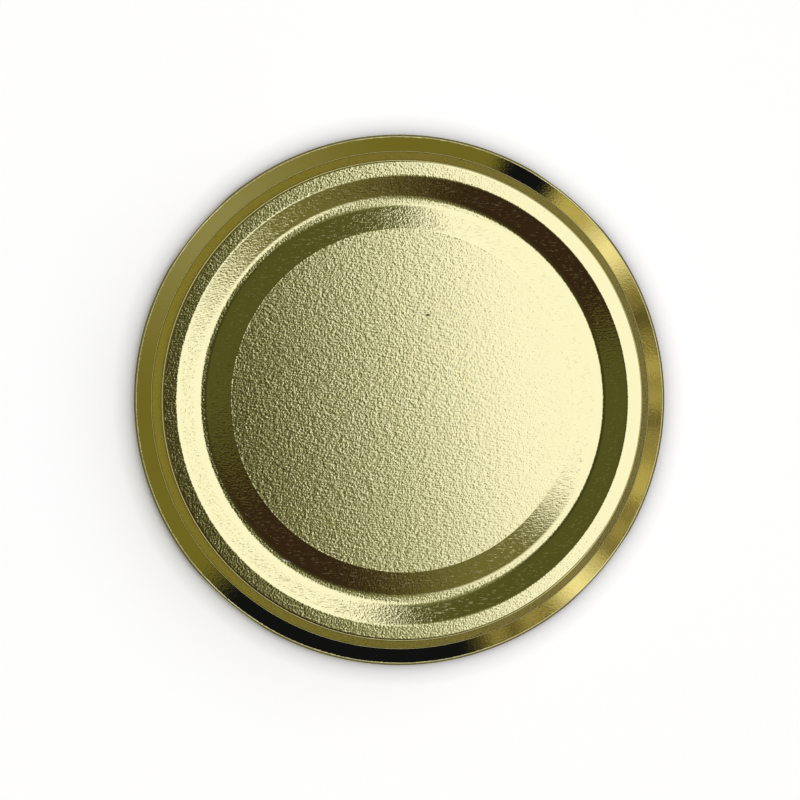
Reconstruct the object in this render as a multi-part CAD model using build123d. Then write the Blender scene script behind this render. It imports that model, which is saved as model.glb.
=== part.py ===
from build123d import *

import os
from math import cos, radians, sin, tan

# Twist-off lid for a glass jar, 63 mm size, stamped from one sheet of lacquered tinplate.
# It lies as it does on a table: top up, on its rolled rim. The origin is the middle of the rim's resting
# plane, +Z is up through the top, and every size is in millimetres or degrees.

# Sheet and overall size
sheet = 0.18
height = 9.8
rim_radius = 33.1

# Top: radii where the flats and slopes of the outer side meet, how far they lie under the channel, and the
# bends between them, which are negative where the sheet turns down
panel_radius = 21.1
floor_inner_radius = 23.85
floor_outer_radius = 25.25
channel_radius = 27.55
panel_drop = 0.15
floor_drop = 1.05
panel_bend = -0.55
floor_bend = 2.5
channel_bend = -0.8

# Skirt: it leans out a little from a tight shoulder, then steps out in a flare to the rolled rim
shoulder_radius = 29.45
shoulder_bend = -0.55
skirt_draft = 12.3
step_bend = 0.5
flare_slope = 36

# Rolled rim: the sheet turns under, inwards and up, with its raw edge inside the roll
curl_radius = 1.05
curl_chords = 6
curl_chord_turn = 48

# Lugs: the roll pressed flat and inwards at four places
lug_count = 4
lug_phase = 50
lug_half_window = 10.5
lug_half_flat = 3.8
lug_reach_radius = 29.8
lug_depth = 0.9
lug_outer_bend = 0.72
lug_return = 0.45
flare_kept = 0.8

# The pressed sheet is a little thinner, and runs a little way into the sheet it grows out of
lug_sheet = 0.16
lug_seat = 0.3
lug_seat_angle = 0.5

# Sealing compound, flowed into the channel inside the top
compound_depth = 0.85

# A bend is laid as chords, or left as a corner, so far as that stays this near to its arc on the outer and the
# inner side of the sheet
outer_tolerance = 0.06
inner_tolerance = 0.2


def direction(angle):
    """A unit direction in the section's plane, from its angle above the outward radius."""
    return Vector(cos(radians(angle)), sin(radians(angle)))


def left_of(run):
    """The direction a quarter turn to the left."""
    return Vector(-run.Y, run.X)


def arc_points(start, heading, radius, turn, chords):
    """Points along an arc that leaves start at the angle heading and turns by turn, left if positive."""
    inwards = heading + 90 if turn > 0 else heading - 90
    center = start + direction(inwards) * radius
    steps = [turn * k / chords for k in range(1, chords + 1)]
    return [center - direction(inwards + step) * radius for step in steps]


def bend_chords(radius, turn, tolerance):
    """How many chords stay within the tolerance of an arc, or 0 where the bare corner does."""
    half = radians(abs(turn)) / 2
    if radius * (1 / cos(half) - 1) < tolerance:
        return 0
    count = 1
    while radius * (1 - cos(half / count)) > tolerance:
        count += 1
    return count


def bent_line(corners, bends, tolerance):
    """A line through the corners, with its bends rounded."""
    line = [corners[0]]
    for before, corner, after, bend in zip(corners, corners[1:], corners[2:], bends):
        arriving = (corner - before).normalized()
        leaving = (after - corner).normalized()
        turn = arriving.get_signed_angle(leaving, Vector(0, 0, 1))
        chords = bend_chords(bend, turn, tolerance)
        if chords == 0:
            line.append(corner)
        else:
            start = corner - arriving * (bend * tan(radians(abs(turn)) / 2))
            heading = Vector(1, 0).get_signed_angle(arriving, Vector(0, 0, 1))
            line += [start] + arc_points(start, heading, bend, turn, chords)
    return line + [corners[-1]]


def beside(line, gap):
    """The line that runs beside a line, to its left by gap, with its corners kept."""
    sides = [left_of((b - a).normalized()) for a, b in zip(line, line[1:])]
    shifts = [sides[0]]
    shifts += [(a + b) / (1 + a.dot(b)) for a, b in zip(sides, sides[1:])]
    shifts.append(sides[-1])
    return [point + shift * gap for point, shift in zip(line, shifts)]


def flare_end():
    """Where the flare runs into the roll. The roll's widest corner is at the rim's radius."""
    corners = [90 - flare_slope - curl_chord_turn * k for k in range(curl_chords)]
    widest = curl_radius * max(cos(radians(corner)) for corner in corners)
    center = Vector(rim_radius - widest, curl_radius)
    return center + direction(90 - flare_slope) * curl_radius


def step_corner():
    """Where the skirt's line meets the flare's."""
    widening = tan(radians(skirt_draft))
    fall = tan(radians(flare_slope))
    foot = flare_end()
    below = shoulder_radius + (height - foot.Y) * widening
    rise = (foot.X - below) * fall / (1 - widening * fall)
    return Vector(below - rise * widening, foot.Y + rise)


def top_corners():
    """Corners of the sheet's outer side, from the axis to the end of the flare."""
    return [
        Vector(0, height - panel_drop),
        Vector(panel_radius, height - panel_drop),
        Vector(floor_inner_radius, height - floor_drop),
        Vector(floor_outer_radius, height - floor_drop),
        Vector(channel_radius, height),
        Vector(shoulder_radius, height),
        step_corner(),
        flare_end(),
    ]


def curl_line():
    """The outer side of the roll's section, from the end of the flare round to the raw edge."""
    return arc_points(flare_end(), -flare_slope, curl_radius, -curl_chord_turn * curl_chords, curl_chords)


def sheet_side(depth, tolerance):
    """One side of the sheet's section, from the axis to the raw edge, at a depth under the outer side."""
    corners = beside(top_corners() + curl_line(), -depth)
    bends = [panel_bend, floor_bend, floor_bend, channel_bend, shoulder_bend, step_bend]
    top = corners[:-curl_chords]
    return bent_line(top, [abs(bend + depth) for bend in bends], tolerance) + corners[-curl_chords:]


def profile(points):
    """A flat face in the XZ plane, from the points of its outline as radius and height."""
    return Plane.XZ * make_face(Polyline(*[(p.X, p.Y) for p in points], close=True))


def ring(points, turn=360):
    """The solid that a section sweeps about the lid's axis."""
    return revolve(profile(points), Axis.Z, turn)


def flare_point(kept):
    """A point on the outer side of the flare, by its distance from the roll."""
    return flare_end() - direction(-flare_slope) * kept


def lug_line(share):
    """The middle of the sheet, from the flare to the raw edge, as it is pressed from the roll into a lug."""
    start = flare_point(flare_kept + lug_seat)
    rolled = beside([start, flare_end()] + curl_line(), -sheet / 2)
    foot = rolled[1]
    tip_bend = (lug_depth - sheet) / 2
    under = arc_points(foot, -flare_slope, lug_outer_bend, flare_slope - 180, 2)
    run = under[-1].X - (lug_reach_radius + sheet / 2 + tip_bend)
    flat = under[-1] - Vector(run, 0)
    first, second, last = arc_points(flat, 180, tip_bend, -180, 3)
    pressed = [rolled[0], foot] + under + [flat, first, second, last + Vector(lug_return, 0)]
    return [a * (1 - share) + b * share for a, b in zip(rolled, pressed)]


def lug():
    """One lug about the +X direction: sections that pass from the roll to the flat hook and back."""
    ramp = lug_half_window - lug_half_flat
    rise = [(lug_half_window + lug_seat_angle, 0), (lug_half_window - ramp / 2, 0.5), (lug_half_flat, 1)]
    stations = rise + [(-angle, share) for angle, share in reversed(rise)]
    sections = []
    for angle, share in stations:
        line = lug_line(share)
        outline = beside(line, lug_sheet / 2) + beside(line, -lug_sheet / 2)[::-1]
        sections.append(Rot(Z=angle) * profile(outline))
    return loft(sections)


def lug_window():
    """The stretch of the roll and lower flare that one lug takes the place of."""
    cut = flare_point(flare_kept)
    across = direction(90 - flare_slope)
    inner = cut - across * (2 * sheet)
    outer = cut + across * sheet
    beyond = rim_radius + sheet
    behind = rim_radius - 2 * curl_radius - sheet
    around = [inner, outer, Vector(beyond, outer.Y), Vector(beyond, -sheet), Vector(behind, -sheet)]
    return Rot(Z=-lug_half_window) * ring(around + [Vector(behind, inner.Y)], 2 * lug_half_window)


def lid_shell():
    """The stamped sheet: top, skirt and rolled rim, with the lugs pressed out of the rim."""
    shell = ring(sheet_side(0, outer_tolerance) + sheet_side(sheet, inner_tolerance)[::-1])
    for k in range(lug_count):
        place = Rot(Z=lug_phase + k * 360 / lug_count)
        shell -= place * lug_window()
        shell += place * lug()
    return shell


def sealing_ring():
    """The cured compound: it fills the channel against the sheet, and its free side is level."""
    free_side = height - sheet - compound_depth
    under_sheet = sheet_side(sheet, inner_tolerance)[:-curl_chords]
    cavity = ring(under_sheet + [Vector(under_sheet[-1].X, 0), Vector(0, 0)])
    block = ring([
        Vector(floor_outer_radius, free_side),
        Vector(shoulder_radius + sheet, free_side),
        Vector(shoulder_radius + sheet, height),
        Vector(floor_outer_radius, height),
    ])
    return cavity & block


os.makedirs("parts", exist_ok=True)
for name, piece in {"lid_shell": lid_shell(), "sealing_ring": sealing_ring()}.items():
    export_step(piece, f"parts/{name}.step")
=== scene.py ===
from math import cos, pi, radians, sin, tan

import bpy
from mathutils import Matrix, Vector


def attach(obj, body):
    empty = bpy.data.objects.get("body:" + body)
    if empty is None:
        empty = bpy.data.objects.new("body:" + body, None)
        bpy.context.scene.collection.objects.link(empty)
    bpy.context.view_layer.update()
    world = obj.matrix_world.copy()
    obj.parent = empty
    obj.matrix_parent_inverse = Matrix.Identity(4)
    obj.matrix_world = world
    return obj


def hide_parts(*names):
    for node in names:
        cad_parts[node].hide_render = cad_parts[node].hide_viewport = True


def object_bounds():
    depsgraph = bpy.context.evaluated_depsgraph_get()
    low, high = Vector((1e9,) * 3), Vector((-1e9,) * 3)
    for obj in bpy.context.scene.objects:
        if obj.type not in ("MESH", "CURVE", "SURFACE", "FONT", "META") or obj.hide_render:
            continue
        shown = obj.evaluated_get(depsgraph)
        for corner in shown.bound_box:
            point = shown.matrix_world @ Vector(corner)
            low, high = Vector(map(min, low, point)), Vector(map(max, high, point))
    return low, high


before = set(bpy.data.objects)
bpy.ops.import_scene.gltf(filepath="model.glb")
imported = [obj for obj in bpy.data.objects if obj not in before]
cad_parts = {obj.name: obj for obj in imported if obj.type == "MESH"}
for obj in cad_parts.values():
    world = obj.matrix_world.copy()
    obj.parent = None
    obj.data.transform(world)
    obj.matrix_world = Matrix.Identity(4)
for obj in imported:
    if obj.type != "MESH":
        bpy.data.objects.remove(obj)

# %% [markdown]
# # A twist-off lid in gold-lacquered tinplate
# The real lid is one disc of tinplate, drawn and stamped in a press, with its edge rolled under and pressed
# into four lugs. A ring of sealing compound is flowed into the channel inside. The frame holds both as solids
# at their real size. Here they get the true arcs of the sheet and their finish, and a studio to stand in.

MM = 0.001
cad_low, cad_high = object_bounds()
rim_radius = (cad_high.x - cad_low.x) / 2
height = cad_high.z
print("rim radius", round(rim_radius / MM, 3), "mm, height", round(height / MM, 3), "mm")

# %% [markdown]
# ## The sheet's section
# A stamped sheet is easiest to describe by the middle of its thickness: straight runs with an arc at each
# bend. Every radius below is a real size, measured on the lid's outer side. Drawing the line by hand would
# give uneven bends, so a short function rounds each corner with a true arc instead.

# %% Driving sizes of the sheet
sheet = 0.18 * MM
panel_radius = 21.1 * MM
floor_inner_radius = 23.85 * MM
floor_outer_radius = 25.25 * MM
channel_radius = 27.55 * MM
panel_drop = 0.15 * MM
floor_drop = 1.05 * MM
shoulder_radius = 29.45 * MM
skirt_draft = radians(12.3)
flare_slope = radians(36)
curl_radius = 1.05 * MM
curl_turn = radians(288)
top_bends = {
    "panel": 0.55 * MM,
    "floor": 2.5 * MM,
    "channel": 0.8 * MM,
    "shoulder": 0.3 * MM,
    "step": 0.2 * MM,
}

# %% Points along an arc
arc_step = radians(7)


def direction(angle):
    """A unit direction in the section's plane, from its angle above the outward radius."""
    return Vector((cos(angle), sin(angle)))


def arc_points(start, heading, radius, turn, step=arc_step):
    """Points along an arc that leaves start at the angle heading and turns by turn, left if positive."""
    side = 1 if turn > 0 else -1
    center = start + direction(heading + side * pi / 2) * radius
    count = max(2, round(abs(turn) / step))
    spoke = heading - side * pi / 2
    return [center + direction(spoke + turn * k / count) * radius for k in range(1, count + 1)]


# %% Straight runs and rounded corners
flat_guard = 0.06 * MM


def divided(start, end, spacing):
    """Points between two ends, close to the ends and then evenly, so that flats shade flat."""
    run = end - start
    length = run.length
    guard = min(flat_guard, length / 4)
    count = max(1, round((length - 2 * guard) / spacing))
    shares = [guard + (length - 2 * guard) * k / count for k in range(count + 1)]
    return [start + run * (share / length) for share in shares]


def rounded(corners, bends, spacing):
    """A line through the corners with a true arc at each inner corner."""
    line = [corners[0]]
    for before, corner, after, bend in zip(corners, corners[1:], corners[2:], bends):
        arriving = (corner - before).normalized()
        leaving = (after - corner).normalized()
        turn = -arriving.angle_signed(leaving)
        start = corner - arriving * (bend * tan(abs(turn) / 2))
        heading = -Vector((1, 0)).angle_signed(arriving)
        line += divided(line[-1], start, spacing)
        line += [start] + arc_points(start, heading, bend, turn)
    return line + divided(line[-1], corners[-1], spacing) + [corners[-1]]


# %% Corners of the sheet's outer side and of its middle
curl_center = Vector((rim_radius - curl_radius, curl_radius))
flare_end = curl_center + direction(pi / 2 - flare_slope) * curl_radius


def step_corner():
    """Where the skirt's line meets the flare's."""
    widening = tan(skirt_draft)
    fall = tan(flare_slope)
    below = shoulder_radius + (height - flare_end.y) * widening
    rise = (flare_end.x - below) * fall / (1 - widening * fall)
    return Vector((below - rise * widening, flare_end.y + rise))


def beside(line, gap):
    """The line that runs beside a line, to its left by gap, with its corners kept."""
    sides = [(b - a).normalized().orthogonal() for a, b in zip(line, line[1:])]
    shifts = [sides[0]]
    shifts += [(a + b) / (1 + a.dot(b)) for a, b in zip(sides, sides[1:])]
    shifts.append(sides[-1])
    return [point + shift * gap for point, shift in zip(line, shifts)]


outer_corners = [
    Vector((0, height - panel_drop)),
    Vector((panel_radius, height - panel_drop)),
    Vector((floor_inner_radius, height - floor_drop)),
    Vector((floor_outer_radius, height - floor_drop)),
    Vector((channel_radius, height)),
    Vector((shoulder_radius, height)),
    step_corner(),
    flare_end,
]
middle_corners = beside(outer_corners, -sheet / 2)
print("middle line's corners (mm):", [tuple(round(c / MM, 2) for c in p) for p in middle_corners])

# %% [markdown]
# ## From roll to lug
# The rim is rolled all the way round, then pressed flat and inwards at four places: those are the lugs that
# slide under the jar's threads. So the section has two ends of one rule: the rolled line, and the pressed one.
# Both get the same number of points, which lets a node tree pass from one to the other along the rim.

# %% Driving sizes of the lugs
lug_count = 4
first_lug = radians(50)
lug_half_window = radians(10.5)
lug_half_flat = radians(3.8)
lug_reach_radius = 29.8 * MM
lug_depth = 0.9 * MM
lug_outer_bend = 0.72 * MM
lug_return = 0.45 * MM
flare_kept = 0.8 * MM

# %% A line with even steps
def evened(line, count):
    """A line through count points at even distances along another line."""
    lengths = [0.0]
    for a, b in zip(line, line[1:]):
        lengths.append(lengths[-1] + (b - a).length)
    points = []
    at = 0
    for k in range(count):
        wanted = lengths[-1] * k / (count - 1)
        while at < len(line) - 2 and lengths[at + 1] < wanted:
            at += 1
        share = (wanted - lengths[at]) / (lengths[at + 1] - lengths[at])
        points.append(line[at].lerp(line[at + 1], share))
    return points


# %% The rolled and the pressed line
run_spacing = 1.5 * MM
fine_step = radians(3)
rim_points = 46
bend_radii = [
    top_bends["panel"] - sheet / 2,
    top_bends["floor"] + sheet / 2,
    top_bends["floor"] + sheet / 2,
    top_bends["channel"] - sheet / 2,
    top_bends["shoulder"] - sheet / 2,
    top_bends["step"] + sheet / 2,
]
foot = middle_corners[-1]
rim_start = foot - direction(-flare_slope) * flare_kept
top_line = rounded(middle_corners[:-1] + [rim_start], bend_radii, run_spacing)

roll = arc_points(foot, -flare_slope, curl_radius - sheet / 2, -curl_turn, fine_step)
rolled_rim = evened([rim_start, foot] + roll, rim_points)

tip_bend = (lug_depth - sheet) / 2
under = arc_points(foot, -flare_slope, lug_outer_bend, flare_slope - pi, fine_step)
flat_end = Vector((lug_reach_radius + sheet / 2 + tip_bend, under[-1].y))
tip = arc_points(flat_end, pi, tip_bend, -pi, fine_step)
lug_end = tip[-1] + Vector((lug_return, 0))
pressed_rim = evened([rim_start, foot] + under + [flat_end] + tip + [lug_end], rim_points)

rolled_line = top_line[:-1] + rolled_rim
pressed_line = top_line[:-1] + pressed_rim
print("points in the sheet's line:", len(rolled_line))

# %% [markdown]
# ## Turning a line into a lid
# A lathe is the natural rule here: every ring of the lid is the same line, carried round the axis. Blender's
# Spin would do it once, but Geometry Nodes keep the rule readable: a grid has one column for each step round
# the axis and one row for each point of the line, and every vertex looks its place up in the two lines.

# %% A small helper for node trees
def add_node(tree, kind, inputs=None, **settings):
    """A new node with its settings, and its inputs set to values or joined to other nodes' outputs."""
    node = tree.nodes.new(kind)
    for name, value in settings.items():
        setattr(node, name, value)
    for key, value in (inputs or {}).items():
        if isinstance(value, bpy.types.NodeSocket):
            tree.links.new(value, node.inputs[key])
        else:
            node.inputs[key].default_value = value
    return node


def math(tree, operation, *values):
    """The output of a Math node."""
    return add_node(tree, "ShaderNodeMath", dict(enumerate(values)), operation=operation).outputs[0]


# %% How far the rim is pressed at an angle
def share_pressed(tree, given, angle):
    """0 on the plain roll and 1 on the flat of a lug, with a smooth way between."""
    pitch = math(tree, "DIVIDE", 2 * pi, given["Lugs"])
    half_pitch = math(tree, "DIVIDE", pitch, 2)
    turned = math(tree, "ADD", math(tree, "SUBTRACT", angle, given["First lug"]), half_pitch)
    from_lug = math(tree, "ABSOLUTE", math(tree, "SUBTRACT", math(tree, "WRAP", turned, pitch, 0), half_pitch))
    window = {"Value": from_lug, "From Min": given["Half window"], "From Max": given["Half flat"]}
    return add_node(tree, "ShaderNodeMapRange", window, interpolation_type="SMOOTHSTEP").outputs[0]


# %% The lathe as a node tree
lathe_inputs = [
    ("Line", "NodeSocketGeometry"),
    ("Steps", "NodeSocketInt"),
    ("Lugs", "NodeSocketInt"),
    ("First lug", "NodeSocketFloat"),
    ("Half window", "NodeSocketFloat"),
    ("Half flat", "NodeSocketFloat"),
    ("Merge distance", "NodeSocketFloat"),
    ("Finish", "NodeSocketMaterial"),
]


def lathe_tree():
    """A tree that carries its mesh's line round Z, and passes to the pressed line at each lug."""
    tree = bpy.data.node_groups.new("lathe", "GeometryNodeTree")
    for name, kind in lathe_inputs:
        tree.interface.new_socket(name, in_out="INPUT", socket_type=kind)
    tree.interface.new_socket("Lid", in_out="OUTPUT", socket_type="NodeSocketGeometry")
    given = add_node(tree, "NodeGroupInput").outputs

    size = add_node(tree, "GeometryNodeAttributeDomainSize", {"Geometry": given["Line"]})
    points = size.outputs["Point Count"]
    columns = math(tree, "ADD", given["Steps"], 1)
    grid = add_node(tree, "GeometryNodeMeshGrid", {"Vertices X": columns, "Vertices Y": points})

    index = add_node(tree, "GeometryNodeInputIndex").outputs[0]
    column = math(tree, "FLOOR", math(tree, "DIVIDE", math(tree, "ADD", index, 0.5), points))
    row = math(tree, "SUBTRACT", index, math(tree, "MULTIPLY", column, points))
    angle = math(tree, "MULTIPLY", column, math(tree, "DIVIDE", 2 * pi, given["Steps"]))

    def looked_up(field):
        """The value of a vector field at this vertex's row of the line."""
        found = {"Geometry": given["Line"], "Value": field, "Index": row}
        return add_node(tree, "GeometryNodeSampleIndex", found, data_type="FLOAT_VECTOR").outputs[0]

    place = add_node(tree, "GeometryNodeInputPosition").outputs[0]
    pressed = add_node(tree, "GeometryNodeInputNamedAttribute", {"Name": "pressed"}, data_type="FLOAT_VECTOR")
    share = share_pressed(tree, given, angle)
    mixed = add_node(tree, "ShaderNodeMix", {"Factor": share}, data_type="VECTOR")
    tree.links.new(looked_up(place), mixed.inputs["A"])
    tree.links.new(looked_up(pressed.outputs[0]), mixed.inputs["B"])
    turn = {"Vector": mixed.outputs["Result"], "Angle": angle}
    turned_place = add_node(tree, "ShaderNodeVectorRotate", turn, rotation_type="Z_AXIS").outputs[0]

    moved = add_node(tree, "GeometryNodeSetPosition", {"Geometry": grid.outputs["Mesh"], "Position": turned_place})
    joined = {"Geometry": moved.outputs[0], "Distance": given["Merge distance"]}
    whole = add_node(tree, "GeometryNodeMergeByDistance", joined)
    smooth = add_node(tree, "GeometryNodeSetShadeSmooth", {"Geometry": whole.outputs[0]})
    real = add_node(tree, "GeometryNodeRealizeInstances", {"Geometry": smooth.outputs[0]})
    finished = {"Geometry": real.outputs[0], "Material": given["Finish"]}
    coated = add_node(tree, "GeometryNodeSetMaterial", finished)
    add_node(tree, "NodeGroupOutput", {"Lid": coated.outputs[0]})
    return tree


lathe = lathe_tree()
print("lathe tree:", len(lathe.nodes), "nodes")


# %% Running the lathe and giving the sheet its thickness
weld_distance = 0.0001 * MM
sharp_angle = radians(50)


def turned_piece(name, line, pressed, finish, steps, thickness=0):
    """A plain mesh object: the line carried round the axis, with a thickness if it is a sheet."""
    mesh = bpy.data.meshes.new(name + "_line")
    mesh.from_pydata([(p.x, 0, p.y) for p in line], [(k, k + 1) for k in range(len(line) - 1)], [])
    store = mesh.attributes.new("pressed", "FLOAT_VECTOR", "POINT")
    for item, p in zip(store.data, pressed):
        item.vector = (p.x, 0, p.y)
    draft = bpy.data.objects.new(name + "_line", mesh)
    bpy.context.collection.objects.link(draft)

    nodes = draft.modifiers.new("lathe", "NODES")
    nodes.node_group = lathe
    values = {
        "Steps": steps,
        "Lugs": lug_count,
        "First lug": first_lug,
        "Half window": lug_half_window,
        "Half flat": lug_half_flat,
        "Merge distance": weld_distance,
        "Finish": finish,
    }
    for socket in lathe.interface.items_tree:
        if socket.name in values:
            nodes[socket.identifier] = values[socket.name]
    if thickness:
        wall = draft.modifiers.new("sheet", "SOLIDIFY")
        wall.thickness = thickness
        wall.offset = 0
        wall.use_even_offset = True

    ready = draft.evaluated_get(bpy.context.evaluated_depsgraph_get())
    solid = bpy.data.meshes.new_from_object(ready)
    solid.name = name
    solid.materials.pop(index=0)
    solid.set_sharp_from_angle(angle=sharp_angle)
    piece = bpy.data.objects.new(name, solid)
    bpy.context.collection.objects.link(piece)
    bpy.data.objects.remove(draft)
    print(name, len(solid.polygons), "faces")
    return piece


# %% [markdown]
# ## Gold-lacquered tinplate
# Tinplate is rolled steel with a mirror of tin on it, and the gold is a clear tinted lacquer. Rolling leaves a
# fine grain in one direction, which breaks reflections into sparkle where they turn from bright to dark. A
# rough metal would only blur them. So the metal is kept smooth, and the grain is real relief in a bump. Where
# the press draws the sheet over a slope, the grain gets deeper and the lacquer crazes into fine rough streaks.

# %% Four helpers for shaders
def ramp(tree, value, low, high):
    """0 below low and 1 above high, smoothly, or the other way round where low is the higher."""
    edge = {"Value": value, "From Min": low, "From Max": high}
    return add_node(tree, "ShaderNodeMapRange", edge, interpolation_type="SMOOTHSTEP").outputs[0]


def layered(tree, below, above, share):
    """One colour laid over another, by a share."""
    mix = add_node(tree, "ShaderNodeMix", {"Factor": share}, data_type="RGBA")
    for key, color in (("A", below), ("B", above)):
        if isinstance(color, bpy.types.NodeSocket):
            tree.links.new(color, mix.inputs[key])
        else:
            mix.inputs[key].default_value = (*color, 1)
    return mix.outputs["Result"]


def off_axis(tree, axes):
    """How far a place or a direction is from the vertical axis."""
    squares = math(tree, "ADD", math(tree, "POWER", axes["X"], 2), math(tree, "POWER", axes["Y"], 2))
    return math(tree, "SQRT", squares)


def blank_material(name):
    """A material with an empty node tree."""
    material = bpy.data.materials.new(name)
    material.use_nodes = True
    material.node_tree.nodes.clear()
    return material


# %% Rings and small ovals on the lid
mark_depth = 0.24 * MM
mark_rim = (1.1, 0.7)


def near_radius(tree, radius, middle, half, soft):
    """1 on a ring round the lid's axis and 0 off it."""
    off = math(tree, "ABSOLUTE", math(tree, "SUBTRACT", radius, middle))
    return ramp(tree, off, half + soft, half - soft)


def mark(tree, place, at, turn, size):
    """1 inside a small oval on the lid's top and 0 outside, from its middle, turn, length and width."""
    length, width = size
    oval = {"Vector": place, "Location": at, "Rotation": (0, 0, turn)}
    oval["Scale"] = (length / 2, width / 2, mark_depth / 2)
    inside = add_node(tree, "ShaderNodeMapping", oval, vector_type="TEXTURE").outputs[0]
    away = add_node(tree, "ShaderNodeVectorMath", {0: inside}, operation="LENGTH").outputs["Value"]
    return ramp(tree, away, *mark_rim)


# %% Grain of the rolled sheet
grain_width = 0.19 * MM
grain_length = 0.95 * MM
grain_turn = radians(-8)
peel_width = 0.25 * MM


def rolled_grain(tree, place):
    """Noise that is long in the direction in which the sheet was rolled."""
    stretch = {"Vector": place, "Rotation": (0, 0, grain_turn)}
    stretch["Scale"] = (1 / grain_length, 1 / grain_width, 1 / grain_width)
    along = add_node(tree, "ShaderNodeMapping", stretch).outputs[0]
    return add_node(tree, "ShaderNodeTexNoise", {"Vector": along, "Scale": 1, "Detail": 1}).outputs["Fac"]


def lacquer_peel(tree, place):
    """Noise of the lacquer's surface, alike in every direction."""
    even = add_node(tree, "ShaderNodeMapping", {"Vector": place, "Scale": (1 / peel_width,) * 3}).outputs[0]
    return add_node(tree, "ShaderNodeTexNoise", {"Vector": even, "Scale": 1, "Detail": 1}).outputs["Fac"]


# %% What the press does to the slopes
# Each slope has its middle radius, its half width and how much of it crazes.
drawn_slopes = [(22.45 * MM, 1.2 * MM, 0.7), (26.4 * MM, 1 * MM, 0.8)]
drawn_soft = 0.35 * MM
drawn_deeper = 3.2


def drawn_over_slopes(tree, radius):
    """How many times deeper the grain is at a radius, and how much the lacquer crazes there."""
    deeper = 1
    crazing = 0
    for middle, half, share in drawn_slopes:
        drawn = near_radius(tree, radius, middle, half, drawn_soft)
        deeper = math(tree, "MULTIPLY", deeper, math(tree, "MULTIPLY_ADD", drawn, drawn_deeper, 1))
        crazing = math(tree, "MULTIPLY_ADD", drawn, share, crazing)
    return deeper, crazing


# %% Sizes and colours of the gold finish
gold = (0.93, 0.87, 0.45)
edge_tint = (0.23, 0.21, 0.12, 1)
smooth_metal = 0.04
crazed_rougher = 0.42
marked_rougher = 0.28
craze_levels = (0.53, 0.68)

# The grain is deep on the left and shallow on the right, and fades between these two places.
grain_height = 0.0082 * MM
peel_share = 0.85
deep_grain = 1.2
shallow_grain = 0.65
grain_fades = (18 * MM, -8 * MM)

# Painted shade: dark lines that stand for dark reflections in the bends at the shoulder and the step,
# and a dark band for the rim's contact shade. Radius, half width and strength.
painted_shade_lines = [(29.52 * MM, 0.1 * MM, 0.5), (30.89 * MM, 0.1 * MM, 0.45), (33.1 * MM, 0.3 * MM, 0.85)]
painted_shade_soft = 0.08 * MM
painted_shade_color = (0.1, 0.08, 0.025)

# A dark speck on the panel, and two bright scratches in the groove with their turns.
speck = (3.1 * MM, 10.5 * MM, 9.65 * MM)
speck_size = (0.42 * MM, 0.3 * MM)
speck_color = (0.06, 0.05, 0.02)
scratches = [(-19.0 * MM, -14.1 * MM, radians(-40)), (-14.3 * MM, -19.65 * MM, radians(-20))]
scratch_size = (1.6 * MM, 0.16 * MM)
scratch_color = (0.93, 0.92, 0.8)
groove_height = 8.77 * MM


# %% The gold finish
def gold_tinplate():
    """Smooth gold metal with its grain in relief, painted dark lines of shade, a speck and two scratches."""
    material = blank_material("gold_tinplate")
    tree = material.node_tree
    place = add_node(tree, "ShaderNodeTexCoord").outputs["Object"]
    axes = add_node(tree, "ShaderNodeSeparateXYZ", {"Vector": place}).outputs
    radius = off_axis(tree, axes)
    grain = rolled_grain(tree, place)
    deeper, crazing = drawn_over_slopes(tree, radius)

    to_left = ramp(tree, axes["X"], *grain_fades)
    depth = math(tree, "MULTIPLY_ADD", to_left, deep_grain - shallow_grain, shallow_grain)
    relief = math(tree, "MULTIPLY_ADD", lacquer_peel(tree, place), peel_share, grain)
    relief = math(tree, "MULTIPLY", relief, math(tree, "MULTIPLY", depth, deeper))
    bump = add_node(tree, "ShaderNodeBump", {"Height": relief, "Strength": 1, "Distance": grain_height})

    color = gold
    # painted shade: dark lines in the bends and a dark band at the rim, laid over the gold
    for middle, half, strength in painted_shade_lines:
        line = near_radius(tree, radius, middle, half, painted_shade_soft)
        color = layered(tree, color, painted_shade_color, math(tree, "MULTIPLY", line, strength))
    spot = mark(tree, place, speck, 0, speck_size)
    scratched = 0
    for x, y, turn in scratches:
        scratch = mark(tree, place, (x, y, groove_height), turn, scratch_size)
        scratched = math(tree, "ADD", scratch, scratched)
    color = layered(tree, color, speck_color, spot)
    color = layered(tree, color, scratch_color, scratched)

    crazed = math(tree, "MULTIPLY", ramp(tree, grain, *craze_levels), crazing)
    rough = math(tree, "MULTIPLY_ADD", crazed, crazed_rougher, smooth_metal)
    marked = math(tree, "ADD", spot, scratched)
    metal = {
        "Base Color": color,
        "Metallic": 1,
        "Roughness": math(tree, "MULTIPLY_ADD", marked, marked_rougher, rough),
        "Specular Tint": edge_tint,
        "Normal": bump.outputs[0],
    }
    shader = add_node(tree, "ShaderNodeBsdfPrincipled", metal)
    add_node(tree, "ShaderNodeOutputMaterial", {"Surface": shader.outputs[0]})
    print("gold finish:", len(tree.nodes), "nodes")
    return material


# %% The sheet itself
sheet_steps = 432
lid_sheet = turned_piece("lid_sheet", rolled_line, pressed_line, gold_tinplate(), sheet_steps, sheet)
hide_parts("lid_shell")
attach(lid_sheet, "root")

# %% [markdown]
# ## Sealing compound
# The compound is a soft off-white plastisol, poured in as the lid spins and then baked. It wets the walls of
# the channel, so its free side dips in the middle. It is a lathe form too, with a section that is closed.

# %% The compound's section
compound_depth = 0.85 * MM
compound_dip = 0.14 * MM
compound_gap = 0.004 * MM
dip_points = 24
wall_spacing = 1 * MM
free_side = height - sheet - compound_depth
walls = beside(outer_corners, -sheet - compound_gap)


def at_height(start, end, wanted):
    """The point of a straight run at a height."""
    return start.lerp(end, (wanted - start.y) / (end.y - start.y))


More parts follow.
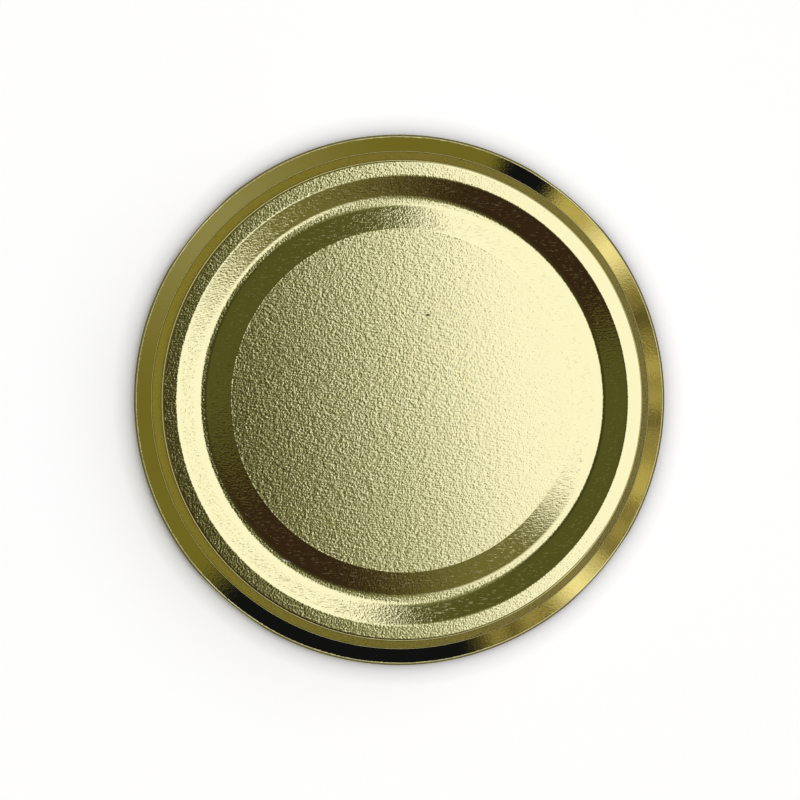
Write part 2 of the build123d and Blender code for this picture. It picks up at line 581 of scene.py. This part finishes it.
slope_edge = at_height(walls[3], walls[4], free_side)
skirt_edge = at_height(walls[5], walls[6], free_side)
wall_bends = [top_bends["channel"] - sheet, top_bends["shoulder"] - sheet]
wetted = rounded([slope_edge, walls[4], walls[5], skirt_edge], wall_bends, wall_spacing)
shares = [k / dip_points for k in range(1, dip_points)]
dips = [compound_dip * (1 - (2 * share - 1) ** 4) for share in shares]
free_line = [skirt_edge.lerp(slope_edge, share) + Vector((0, dip)) for share, dip in zip(shares, dips)]
compound_line = [slope_edge] + free_line[::-1] + wetted[::-1]
print("compound from radius", round(slope_edge.x / MM, 2), "to", round(skirt_edge.x / MM, 2), "mm")


# %% The compound's finish
plastisol = (0.84, 0.82, 0.75, 1)
flow_scale = 2500
flow_height = 0.01 * MM


def sealing_compound():
    """Matt off-white plastisol with a faint flow texture."""
    material = blank_material("sealing_compound")
    tree = material.node_tree
    place = add_node(tree, "ShaderNodeTexCoord").outputs["Object"]
    flow = add_node(tree, "ShaderNodeTexNoise", {"Vector": place, "Scale": flow_scale, "Detail": 3})
    bump = add_node(tree, "ShaderNodeBump", {"Height": flow.outputs["Fac"], "Distance": flow_height})
    rubber = {"Base Color": plastisol, "Roughness": 0.55, "Normal": bump.outputs[0]}
    shader = add_node(tree, "ShaderNodeBsdfPrincipled", rubber)
    add_node(tree, "ShaderNodeOutputMaterial", {"Surface": shader.outputs[0]})
    return material


# %% The compound itself
compound_steps = 288
compound = turned_piece("compound_ring", compound_line, compound_line, sealing_compound(), compound_steps)
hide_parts("sealing_ring")
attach(compound, "root")

# %% [markdown]
# ## A pale floor
# The lid lies on white. Paper that is lit like the lid looks grey, and lamps strong enough to whiten it would
# wash the metal out. So the paper also glows a little, but only to the camera and in reflections. The glow
# fades close to the lid, which keeps the thin dark shadow that shows the rim resting on the floor.

# %% The paper's finish
paper_color = (0.9, 0.9, 0.9, 1)
shadow_reach = 3 * MM
shadow_levels = (0.4, 1)
shadow_glow = 0.05
open_glow = 0.67


def pale_floor():
    """White paper: diffuse for the shadow, with a little glow of its own where it is seen or mirrored."""
    material = blank_material("pale_floor")
    tree = material.node_tree
    paper = add_node(tree, "ShaderNodeBsdfDiffuse", {"Color": paper_color})
    rays = add_node(tree, "ShaderNodeLightPath").outputs
    seen = math(tree, "MAXIMUM", rays["Is Camera Ray"], rays["Is Glossy Ray"])
    seen = math(tree, "MAXIMUM", seen, rays["Is Transmission Ray"])
    open_sky = add_node(tree, "ShaderNodeAmbientOcclusion", {"Distance": shadow_reach}, samples=4).outputs["AO"]
    in_open = ramp(tree, open_sky, *shadow_levels)
    strength = math(tree, "MULTIPLY_ADD", in_open, open_glow - shadow_glow, shadow_glow)
    glow = add_node(tree, "ShaderNodeEmission", {"Strength": math(tree, "MULTIPLY", seen, strength)})
    both = add_node(tree, "ShaderNodeAddShader", {0: paper.outputs[0], 1: glow.outputs[0]})
    below = add_node(tree, "ShaderNodeNewGeometry").outputs["Backfacing"]
    clear = add_node(tree, "ShaderNodeBsdfTransparent")
    sided = add_node(tree, "ShaderNodeMixShader", {0: below, 1: both.outputs[0], 2: clear.outputs[0]})
    add_node(tree, "ShaderNodeOutputMaterial", {"Surface": sided.outputs[0]})
    return material


# %% The floor itself
floor_half = 3
floor_mesh = bpy.data.meshes.new("floor")
floor_corners = [(-floor_half, -floor_half, 0), (floor_half, -floor_half, 0)]
floor_corners += [(floor_half, floor_half, 0), (-floor_half, floor_half, 0)]
floor_mesh.from_pydata(floor_corners, [], [(0, 1, 2, 3)])
floor_mesh.materials.append(pale_floor())
floor = bpy.data.objects.new("floor", floor_mesh)
bpy.context.collection.objects.link(floor)
print("floor:", 2 * floor_half, "m across")

# %% [markdown]
# ## A studio to mirror
# Bare metal shows nothing but its surroundings, so the studio matters as much as the finish. Seen from above,
# each band of the lid mirrors one part of it: the flats show what is overhead, the slopes what is 35 to 50
# degrees away from there, and the flare what is low on the side that it faces. Cards and lamps could be
# placed for this, but a world painted by direction is easier to fit to those bands and has no noise.

# %% Directions as nodes
def scaled(tree, color, factor):
    """A colour multiplied by a number."""
    scale = {0: color, "Scale": factor}
    return add_node(tree, "ShaderNodeVectorMath", scale, operation="SCALE").outputs["Vector"]


def sector(tree, azimuth, first, last, first_soft, last_soft):
    """1 between two azimuths and 0 outside, each edge as soft as it says, all in degrees."""
    start = math(tree, "WRAP", math(tree, "SUBTRACT", azimuth, radians(first)), pi, -pi)
    end = math(tree, "WRAP", math(tree, "SUBTRACT", azimuth, radians(last)), pi, -pi)
    width = last - first
    opening = ramp(tree, start, -radians(first_soft), radians(first_soft))
    closing = ramp(tree, end, radians(last_soft), -radians(last_soft))
    joined = "MULTIPLY" if width < 180 else "MAXIMUM"
    return math(tree, joined, opening, closing)


# %% Colours of the studio
window = (1.05, 1.06, 1.24)
haze = (0.27, 0.285, 0.175)
wall = (0.09, 0.09, 0.03)
wall_overhead = (0.045, 0.045, 0.02)
corner = (0.035, 0.019, 0.014)
front = (0.16, 0.155, 0.06)
wall_low = (0.17, 0.15, 0.035)
wall_glow = (0.29, 0.27, 0.15)
right_low = (0.27, 0.225, 0.09)
right_glow = (0.98, 0.88, 0.6)
corner_low = (0.006, 0.007, 0.012)

# %% Where they stand: first and last azimuth in degrees, and how soft each edge is
dark_front = (203, 325, 6, 10)
front_wall = (276, 350, 22, 10)
left_glow = (115, 155, 28, 28)
right_side = (-70, 60, 6, 6)
glows_right = [(29, 39, 6, 6), (311, 320, 5, 6)]
corners_low = [(51, 65, 4, 3), (226, 291, 6, 5)]

# %% How the overhead part changes with its spread, the sine of the angle from straight up
window_edge = 0.038
edge_drift = 0.08
edge_slant = 0.19
slant_spread = (0.4, 0.12)
edge_soft = 0.015
edge_softens = 0.08
front_spread = (0.12, 0.45)
front_overhead = 0.6
wall_spread = (0.06, 0.3)
haze_spread = (0.7, 0.2)
haze_width = 0.012
haze_widens = 0.3
haze_end = 0.03
horizon = (0.42, 0.55)


# %% Overhead: a soft window edge, the haze beside it, walls and a dark front
def overhead(tree, axes, azimuth, spread):
    """The colour of the studio from straight up to 60 degrees away."""
    slant = math(tree, "MULTIPLY", ramp(tree, spread, *slant_spread), edge_slant)
    across = math(tree, "MULTIPLY_ADD", axes["Y"], slant, axes["X"])
    past_edge = math(tree, "SUBTRACT", across, math(tree, "MULTIPLY_ADD", spread, edge_drift, window_edge))
    softness = math(tree, "MULTIPLY_ADD", spread, edge_softens, edge_soft)
    bright = ramp(tree, math(tree, "DIVIDE", past_edge, softness), -1, 1)
    haze_start = math(tree, "MULTIPLY_ADD", spread, -haze_widens, -haze_width)
    hazy = math(tree, "MULTIPLY", ramp(tree, across, haze_start, haze_end), ramp(tree, spread, *haze_spread))
    off_zenith = ramp(tree, spread, *front_spread)
    in_front = sector(tree, azimuth, *dark_front)
    front_share = math(tree, "MULTIPLY_ADD", off_zenith, 1 - front_overhead, front_overhead)

    color = layered(tree, wall_overhead, wall, ramp(tree, spread, *wall_spread))
    color = layered(tree, color, corner, math(tree, "MULTIPLY", in_front, front_share))
    color = layered(tree, color, haze, hazy)
    color = layered(tree, color, window, bright)
    behind = layered(tree, corner, front, sector(tree, azimuth, *front_wall))
    return layered(tree, color, behind, math(tree, "MULTIPLY", in_front, off_zenith))


# %% Low down: walls, a streaky right side with two bright gaps, and two dark corners
streaks = {"Scale": 5, "Detail": 3, "Roughness": 0.6}
streak_levels = (0.35, 0.68)
streak_range = (0.4, 1.9)


def low_down(tree, toward, azimuth):
    """The colour of the studio near the horizon."""
    noise = add_node(tree, "ShaderNodeTexNoise", {"Vector": toward, **streaks}).outputs["Fac"]
    least, most = streak_range
    streaky = math(tree, "MULTIPLY_ADD", ramp(tree, noise, *streak_levels), most - least, least)
    color = layered(tree, wall_low, wall_glow, sector(tree, azimuth, *left_glow))
    color = layered(tree, color, scaled(tree, right_low, streaky), sector(tree, azimuth, *right_side))
    for place in glows_right:
        color = layered(tree, color, right_glow, sector(tree, azimuth, *place))
    for place in corners_low:
        color = layered(tree, color, corner_low, sector(tree, azimuth, *place))
    return color


# %% The studio
def studio_world():
    """A soft studio: a window wall and ceiling to the right, dim walls to the left, a dark corner in front."""
    world = bpy.data.worlds.new("studio")
    world.use_nodes = True
    tree = world.node_tree
    tree.nodes.clear()
    toward = add_node(tree, "ShaderNodeTexCoord").outputs["Generated"]
    axes = add_node(tree, "ShaderNodeSeparateXYZ", {"Vector": toward}).outputs
    azimuth = math(tree, "ARCTAN2", axes["Y"], axes["X"])
    high = overhead(tree, axes, azimuth, off_axis(tree, axes))
    low = low_down(tree, toward, azimuth)
    color = layered(tree, low, high, ramp(tree, axes["Z"], *horizon))
    sky = add_node(tree, "ShaderNodeBackground", {"Color": color, "Strength": 1})
    add_node(tree, "ShaderNodeOutputWorld", {"Surface": sky.outputs[0]})
    print("studio:", len(tree.nodes), "nodes")
    return world


bpy.context.scene.world = studio_world()

# %% [markdown]
# ## The camera
# The photograph looks almost straight down, with the lens a little to the left of the lid's axis. That small
# tilt is what sets the rings slightly off centre, so it is worth finding. The lens is long, as for a product
# photograph, and its width of view at the lid gives the lid its share of the picture.

# %% The camera
camera_distance = 0.5
camera_tilt = radians(2.25)
camera_turn = radians(168)
view_width = 99.75 * MM
sensor = 36
aim = Vector((0, 0, 1.5 * MM))
back = Vector((sin(camera_tilt) * cos(camera_turn), sin(camera_tilt) * sin(camera_turn), cos(camera_tilt)))
lens = bpy.data.cameras.new("camera")
lens.sensor_width = sensor
lens.lens = sensor * camera_distance / view_width
lens.clip_start = 0.01
camera = bpy.data.objects.new("camera", lens)
camera.location = aim + back * camera_distance
camera.rotation_mode = "QUATERNION"
across = (Vector((1, 0, 0)) - back * back.x).normalized()
camera.rotation_quaternion = Matrix((across, back.cross(across), back)).transposed().to_quaternion()
bpy.context.collection.objects.link(camera)
bpy.context.scene.camera = camera
bpy.context.scene.view_settings.view_transform = "Standard"
print("lens", round(lens.lens, 1), "mm")
